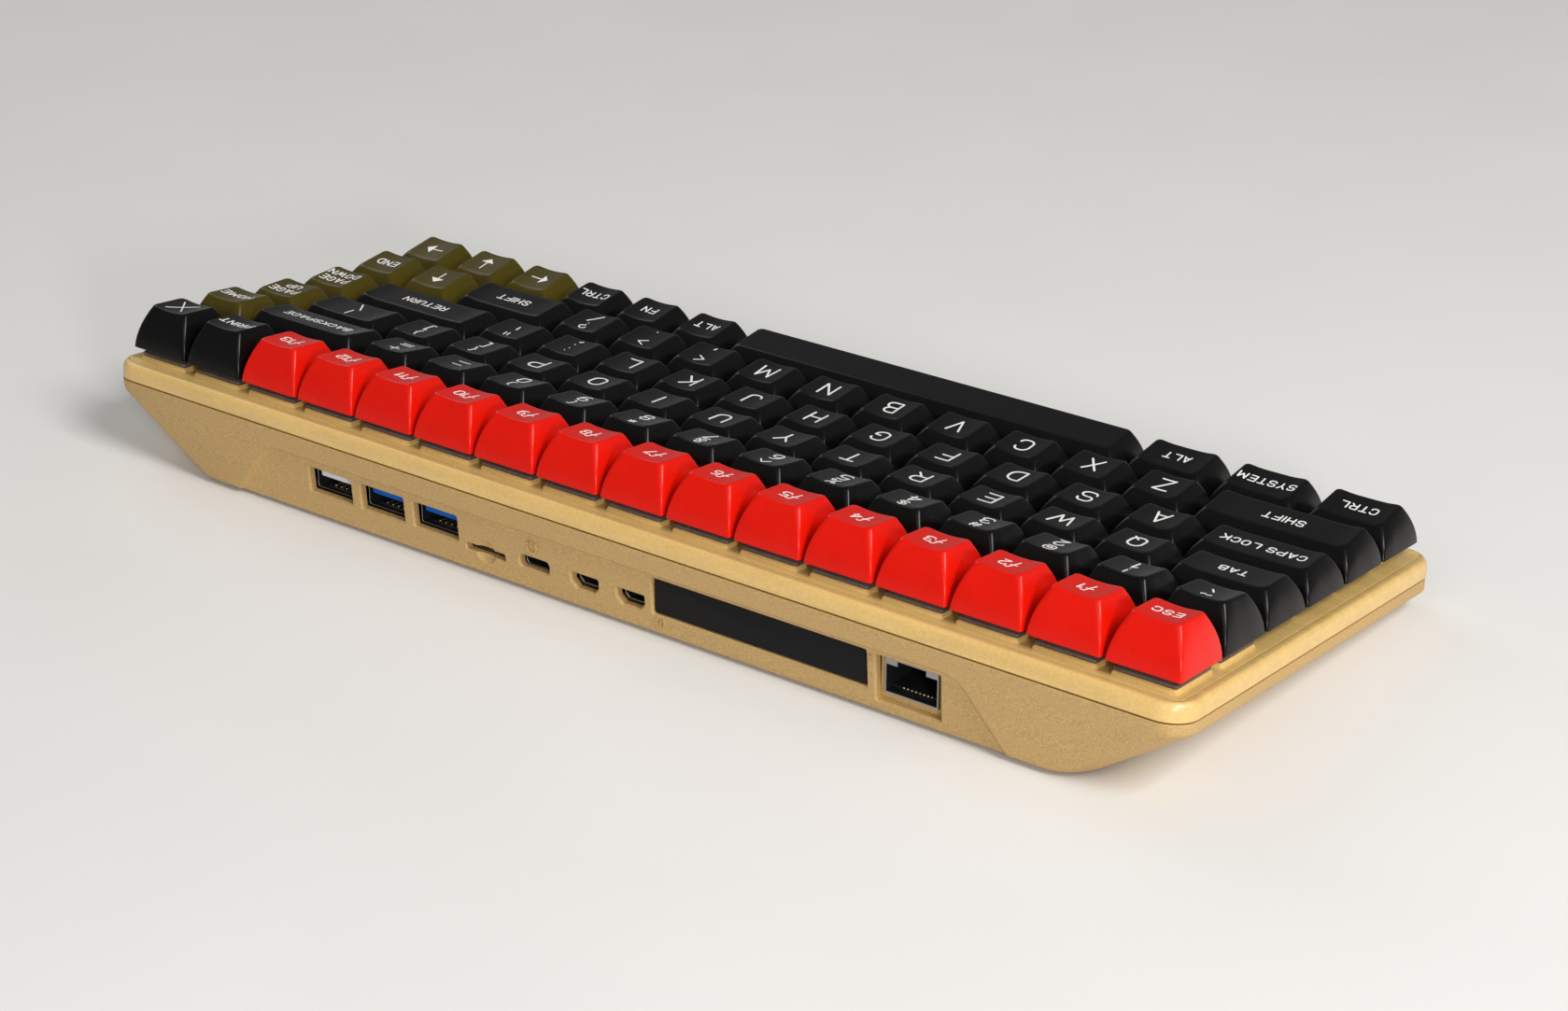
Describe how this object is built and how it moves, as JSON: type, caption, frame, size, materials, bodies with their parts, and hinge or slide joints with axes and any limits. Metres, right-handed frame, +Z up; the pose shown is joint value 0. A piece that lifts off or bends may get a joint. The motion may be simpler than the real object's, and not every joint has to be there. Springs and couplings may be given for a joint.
{
  "type": "all-in-one keyboard computer",
  "caption": "Wedge-shaped all-in-one keyboard computer in a sand plastic case, with red, black and olive sprung keys on a sloping deck and a row of sockets in the rear face.",
  "frame": {"origin": "middle of the footprint, on the plane that the rubber feet stand on", "axes": "+X the typist's right along the keyboard's length, +Y towards the rear socket panel, +Z up"},
  "size_m": [0.3114, 0.1214, 0.0402],
  "materials": {
    "case_plastic": "fine moulded texture, sand coloured",
    "frame_plastic": "smooth semi-gloss, warm gold-sand",
    "plate_paint": "semi-gloss paint to match the frame",
    "switch_plastic": "smoked, polished",
    "key_red": "satin, white lettering",
    "key_black": "satin, white lettering",
    "key_olive": "satin, white lettering",
    "circuit_board": "solder mask on glass fibre board",
    "screw_steel": "plated",
    "chip_plastic": "moulded epoxy",
    "spreader_aluminium": "bare sheet",
    "socket_steel": "tin-plated sheet, with moulded tongues",
    "header_plastic": "moulded, with gold-plated pins",
    "cover_rubber": "matte black",
    "ribbon_film": "flat polyester cable",
    "foot_rubber": "matte black"
  },
  "bodies": {
    "case": {"bottom_case": "case_plastic", "top_frame": "frame_plastic", "key_plate": "plate_paint", "key_switches": "switch_plastic", "keyboard_circuit_board": "circuit_board", "main_board": "circuit_board", "board_screw_front_right": "screw_steel", "board_screw_rear_right": "screw_steel", "board_screw_front_left": "screw_steel", "board_screw_rear_left": "screw_steel", "processor": "chip_plastic", "heat_spreader": "spreader_aluminium", "usb2_socket": "socket_steel", "usb3_socket_outer": "socket_steel", "usb3_socket_inner": "socket_steel", "memory_card_socket": "socket_steel", "power_socket": "socket_steel", "video_socket_first": "socket_steel", "video_socket_second": "socket_steel", "expansion_header": "header_plastic", "network_socket": "socket_steel", "keyboard_ribbon": "ribbon_film", "front_foot": "foot_rubber", "rear_foot": "foot_rubber"},
    "header_cover": {"header_cover": "cover_rubber"},
    "esc_key": {"esc_key": "key_red"},
    "f1_key": {"f1_key": "key_red"},
    "f2_key": {"f2_key": "key_red"},
    "f3_key": {"f3_key": "key_red"},
    "f4_key": {"f4_key": "key_red"},
    "f5_key": {"f5_key": "key_red"},
    "f6_key": {"f6_key": "key_red"},
    "f7_key": {"f7_key": "key_red"},
    "f8_key": {"f8_key": "key_red"},
    "f9_key": {"f9_key": "key_red"},
    "f10_key": {"f10_key": "key_red"},
    "f11_key": {"f11_key": "key_red"},
    "f12_key": {"f12_key": "key_red"},
    "f13_key": {"f13_key": "key_red"},
    "print_key": {"print_key": "key_black"},
    "cross_key": {"cross_key": "key_black"},
    "backspace_key": {"backspace_key": "key_black"},
    "tab_key": {"tab_key": "key_black"},
    "caps_lock_key": {"caps_lock_key": "key_black"},
    "return_key": {"return_key": "key_black"},
    "left_shift_key": {"left_shift_key": "key_black"},
    "right_shift_key": {"right_shift_key": "key_black"},
    "space_bar": {"space_bar": "key_black"},
    "up_key": {"up_key": "key_olive"},
    "left_arrow_key": {"left_arrow_key": "key_olive"},
    "down_key": {"down_key": "key_olive"},
    "right_arrow_key": {"right_arrow_key": "key_olive"},
    "number_keys": {"number_keys": "key_black"},
    "upper_letter_keys": {"upper_letter_keys": "key_black"},
    "home_row_keys": {"home_row_keys": "key_black"},
    "lower_letter_keys": {"lower_letter_keys": "key_black"},
    "left_modifier_keys": {"left_modifier_keys": "key_black"},
    "right_modifier_keys": {"right_modifier_keys": "key_black"},
    "home_and_page_up_keys": {"home_and_page_up_keys": "key_olive"},
    "page_down_and_end_keys": {"page_down_and_end_keys": "key_olive"}
  },
  "joints": [
    {"name": "header_cover_pull", "type": "slide", "parent": "case", "child": "header_cover", "axis": [0, 1, 0], "range_m": [0, 0.012]},
    {"name": "number_keys_press", "type": "slide", "parent": "case", "child": "number_keys", "axis": [0, 0.1132, -0.9936], "range_m": [0, 0.003], "stiffness_N_per_m": 1300, "springref_m": -0.003},
    {"name": "upper_letter_keys_press", "type": "slide", "parent": "case", "child": "upper_letter_keys", "axis": [0, 0.1132, -0.9936], "range_m": [0, 0.003], "stiffness_N_per_m": 1300, "springref_m": -0.003},
    {"name": "home_row_keys_press", "type": "slide", "parent": "case", "child": "home_row_keys", "axis": [0, 0.1132, -0.9936], "range_m": [0, 0.003], "stiffness_N_per_m": 1100, "springref_m": -0.003},
    {"name": "lower_letter_keys_press", "type": "slide", "parent": "case", "child": "lower_letter_keys", "axis": [0, 0.1132, -0.9936], "range_m": [0, 0.003], "stiffness_N_per_m": 1000, "springref_m": -0.003},
    {"name": "left_modifier_keys_press", "type": "slide", "parent": "case", "child": "left_modifier_keys", "axis": [0, 0.1132, -0.9936], "range_m": [0, 0.003], "stiffness_N_per_m": 300, "springref_m": -0.003},
    {"name": "right_modifier_keys_press", "type": "slide", "parent": "case", "child": "right_modifier_keys", "axis": [0, 0.1132, -0.9936], "range_m": [0, 0.003], "stiffness_N_per_m": 300, "springref_m": -0.003},
    {"name": "home_and_page_up_keys_press", "type": "slide", "parent": "case", "child": "home_and_page_up_keys", "axis": [0, 0.1132, -0.9936], "range_m": [0, 0.003], "stiffness_N_per_m": 200, "springref_m": -0.003},
    {"name": "page_down_and_end_keys_press", "type": "slide", "parent": "case", "child": "page_down_and_end_keys", "axis": [0, 0.1132, -0.9936], "range_m": [0, 0.003], "stiffness_N_per_m": 200, "springref_m": -0.003},
    {"name": "esc_key_press", "type": "slide", "parent": "case", "child": "esc_key", "axis": [0, 0.1132, -0.9936], "range_m": [0, 0.003], "stiffness_N_per_m": 100, "springref_m": -0.003},
    {"name": "f1_key_press", "type": "slide", "parent": "case", "child": "f1_key", "axis": [0, 0.1132, -0.9936], "range_m": [0, 0.003], "stiffness_N_per_m": 100, "springref_m": -0.003},
    {"name": "f2_key_press", "type": "slide", "parent": "case", "child": "f2_key", "axis": [0, 0.1132, -0.9936], "range_m": [0, 0.003], "stiffness_N_per_m": 100, "springref_m": -0.003},
    {"name": "f3_key_press", "type": "slide", "parent": "case", "child": "f3_key", "axis": [0, 0.1132, -0.9936], "range_m": [0, 0.003], "stiffness_N_per_m": 100, "springref_m": -0.003},
    {"name": "f4_key_press", "type": "slide", "parent": "case", "child": "f4_key", "axis": [0, 0.1132, -0.9936], "range_m": [0, 0.003], "stiffness_N_per_m": 100, "springref_m": -0.003},
    {"name": "f5_key_press", "type": "slide", "parent": "case", "child": "f5_key", "axis": [0, 0.1132, -0.9936], "range_m": [0, 0.003], "stiffness_N_per_m": 100, "springref_m": -0.003},
    {"name": "f6_key_press", "type": "slide", "parent": "case", "child": "f6_key", "axis": [0, 0.1132, -0.9936], "range_m": [0, 0.003], "stiffness_N_per_m": 100, "springref_m": -0.003},
    {"name": "f7_key_press", "type": "slide", "parent": "case", "child": "f7_key", "axis": [0, 0.1132, -0.9936], "range_m": [0, 0.003], "stiffness_N_per_m": 100, "springref_m": -0.003},
    {"name": "f8_key_press", "type": "slide", "parent": "case", "child": "f8_key", "axis": [0, 0.1132, -0.9936], "range_m": [0, 0.003], "stiffness_N_per_m": 100, "springref_m": -0.003},
    {"name": "f9_key_press", "type": "slide", "parent": "case", "child": "f9_key", "axis": [0, 0.1132, -0.9936], "range_m": [0, 0.003], "stiffness_N_per_m": 100, "springref_m": -0.003},
    {"name": "f10_key_press", "type": "slide", "parent": "case", "child": "f10_key", "axis": [0, 0.1132, -0.9936], "range_m": [0, 0.003], "stiffness_N_per_m": 100, "springref_m": -0.003},
    {"name": "f11_key_press", "type": "slide", "parent": "case", "child": "f11_key", "axis": [0, 0.1132, -0.9936], "range_m": [0, 0.003], "stiffness_N_per_m": 100, "springref_m": -0.003},
    {"name": "f12_key_press", "type": "slide", "parent": "case", "child": "f12_key", "axis": [0, 0.1132, -0.9936], "range_m": [0, 0.003], "stiffness_N_per_m": 100, "springref_m": -0.003},
    {"name": "f13_key_press", "type": "slide", "parent": "case", "child": "f13_key", "axis": [0, 0.1132, -0.9936], "range_m": [0, 0.003], "stiffness_N_per_m": 100, "springref_m": -0.003},
    {"name": "print_key_press", "type": "slide", "parent": "case", "child": "print_key", "axis": [0, 0.1132, -0.9936], "range_m": [0, 0.003], "stiffness_N_per_m": 100, "springref_m": -0.003},
    {"name": "cross_key_press", "type": "slide", "parent": "case", "child": "cross_key", "axis": [0, 0.1132, -0.9936], "range_m": [0, 0.003], "stiffness_N_per_m": 100, "springref_m": -0.003},
    {"name": "backspace_key_press", "type": "slide", "parent": "case", "child": "backspace_key", "axis": [0, 0.1132, -0.9936], "range_m": [0, 0.003], "stiffness_N_per_m": 100, "springref_m": -0.003},
    {"name": "tab_key_press", "type": "slide", "parent": "case", "child": "tab_key", "axis": [0, 0.1132, -0.9936], "range_m": [0, 0.003], "stiffness_N_per_m": 100, "springref_m": -0.003},
    {"name": "caps_lock_key_press", "type": "slide", "parent": "case", "child": "caps_lock_key", "axis": [0, 0.1132, -0.9936], "range_m": [0, 0.003], "stiffness_N_per_m": 100, "springref_m": -0.003},
    {"name": "return_key_press", "type": "slide", "parent": "case", "child": "return_key", "axis": [0, 0.1132, -0.9936], "range_m": [0, 0.003], "stiffness_N_per_m": 100, "springref_m": -0.003},
    {"name": "left_shift_key_press", "type": "slide", "parent": "case", "child": "left_shift_key", "axis": [0, 0.1132, -0.9936], "range_m": [0, 0.003], "stiffness_N_per_m": 100, "springref_m": -0.003},
    {"name": "right_shift_key_press", "type": "slide", "parent": "case", "child": "right_shift_key", "axis": [0, 0.1132, -0.9936], "range_m": [0, 0.003], "stiffness_N_per_m": 100, "springref_m": -0.003},
    {"name": "space_bar_press", "type": "slide", "parent": "case", "child": "space_bar", "axis": [0, 0.1132, -0.9936], "range_m": [0, 0.003], "stiffness_N_per_m": 100, "springref_m": -0.003},
    {"name": "up_key_press", "type": "slide", "parent": "case", "child": "up_key", "axis": [0, 0.1132, -0.9936], "range_m": [0, 0.003], "stiffness_N_per_m": 100, "springref_m": -0.003},
    {"name": "left_arrow_key_press", "type": "slide", "parent": "case", "child": "left_arrow_key", "axis": [0, 0.1132, -0.9936], "range_m": [0, 0.003], "stiffness_N_per_m": 100, "springref_m": -0.003},
    {"name": "down_key_press", "type": "slide", "parent": "case", "child": "down_key", "axis": [0, 0.1132, -0.9936], "range_m": [0, 0.003], "stiffness_N_per_m": 100, "springref_m": -0.003},
    {"name": "right_arrow_key_press", "type": "slide", "parent": "case", "child": "right_arrow_key", "axis": [0, 0.1132, -0.9936], "range_m": [0, 0.003], "stiffness_N_per_m": 100, "springref_m": -0.003}
  ]
}
